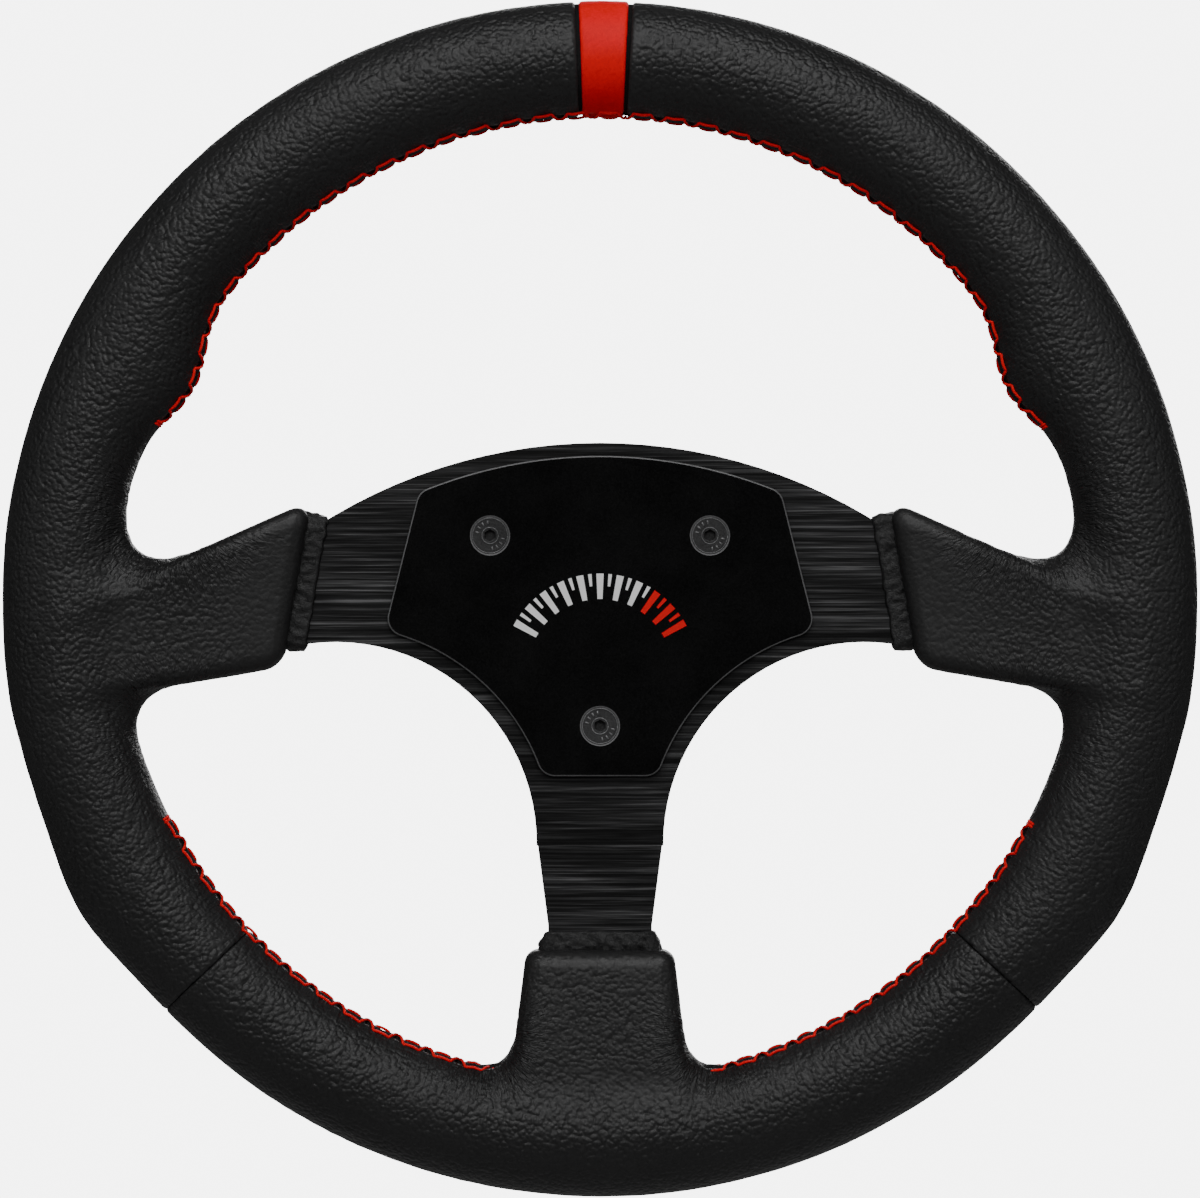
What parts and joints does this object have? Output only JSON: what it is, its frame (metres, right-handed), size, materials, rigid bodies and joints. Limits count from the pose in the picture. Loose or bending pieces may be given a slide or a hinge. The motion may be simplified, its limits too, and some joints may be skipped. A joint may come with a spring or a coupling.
{
  "type": "quick release steering wheel",
  "caption": "Round three-spoke leather steering wheel with red lacing, a flat centre cover and a ball-lock quick release socket behind.",
  "frame": {"origin": "the centre of the quick release socket's open mouth, on the wheel's axis", "axes": "+Y out of the socket's mouth towards the column, +Z to twelve o'clock, +X to the driver's right"},
  "size_m": [0.33, 0.069, 0.33],
  "materials": {
    "leather": "fine pebble grain, satin",
    "red_leather": "fine grain, satin",
    "thread": "twisted thread",
    "foam": "closed-cell padding",
    "black_plate": "brushed, black anodised",
    "alloy": "bare",
    "red_alloy": "red anodised",
    "cover": "matte black",
    "steel": "plain",
    "black_steel": "black oxide",
    "ball_steel": "polished",
    "rubber": "matte"
  },
  "bodies": {
    "wheel": {"spoke_plate": "black_plate", "rim_core": "alloy", "core_screws": "steel", "rim_foam": "foam", "leather_left": "leather", "leather_right": "leather", "leather_bottom": "leather", "centre_stripe": "red_leather", "stitching_top": "thread", "stitching_lower_left": "thread", "stitching_lower_right": "thread", "boot_hem_left": "leather", "boot_hem_right": "leather", "boot_hem_bottom": "leather", "centre_cover": "cover", "cover_screws": "black_steel", "hub_screws": "black_steel", "hub_washers": "steel", "socket_body": "black_plate", "spline_insert": "steel", "insert_screws": "black_steel", "release_spring": "steel", "retaining_ring": "steel", "socket_o_ring": "rubber"},
    "collar": {"release_collar": "red_alloy"},
    "ball_1": {"locking_ball_1": "ball_steel"},
    "ball_2": {"locking_ball_2": "ball_steel"},
    "ball_3": {"locking_ball_3": "ball_steel"},
    "ball_4": {"locking_ball_4": "ball_steel"},
    "ball_5": {"locking_ball_5": "ball_steel"},
    "ball_6": {"locking_ball_6": "ball_steel"}
  },
  "joints": [
    {"name": "collar_slide", "type": "slide", "parent": "wheel", "child": "collar", "axis": [0, -1, 0], "range_m": [0, 0.006], "stiffness_N_per_m": 3000, "springref_m": -0.004, "deforming": ["release_spring"]},
    {"name": "ball_1_lift", "type": "slide", "parent": "wheel", "child": "ball_1", "axis": [1, 0, 0], "range_m": [0, 0.0015]},
    {"name": "ball_2_lift", "type": "slide", "parent": "wheel", "child": "ball_2", "axis": [0.5, 0, 0.866], "range_m": [0, 0.0015]},
    {"name": "ball_3_lift", "type": "slide", "parent": "wheel", "child": "ball_3", "axis": [-0.5, 0, 0.866], "range_m": [0, 0.0015]},
    {"name": "ball_4_lift", "type": "slide", "parent": "wheel", "child": "ball_4", "axis": [-1, 0, 0], "range_m": [0, 0.0015]},
    {"name": "ball_5_lift", "type": "slide", "parent": "wheel", "child": "ball_5", "axis": [-0.5, 0, -0.866], "range_m": [0, 0.0015]},
    {"name": "ball_6_lift", "type": "slide", "parent": "wheel", "child": "ball_6", "axis": [0.5, 0, -0.866], "range_m": [0, 0.0015]}
  ],
  "couplings": [
    {"joint": "ball_1_lift", "follows": "collar_slide", "ratio": 0.25},
    {"joint": "ball_2_lift", "follows": "collar_slide", "ratio": 0.25},
    {"joint": "ball_3_lift", "follows": "collar_slide", "ratio": 0.25},
    {"joint": "ball_4_lift", "follows": "collar_slide", "ratio": 0.25},
    {"joint": "ball_5_lift", "follows": "collar_slide", "ratio": 0.25},
    {"joint": "ball_6_lift", "follows": "collar_slide", "ratio": 0.25}
  ]
}
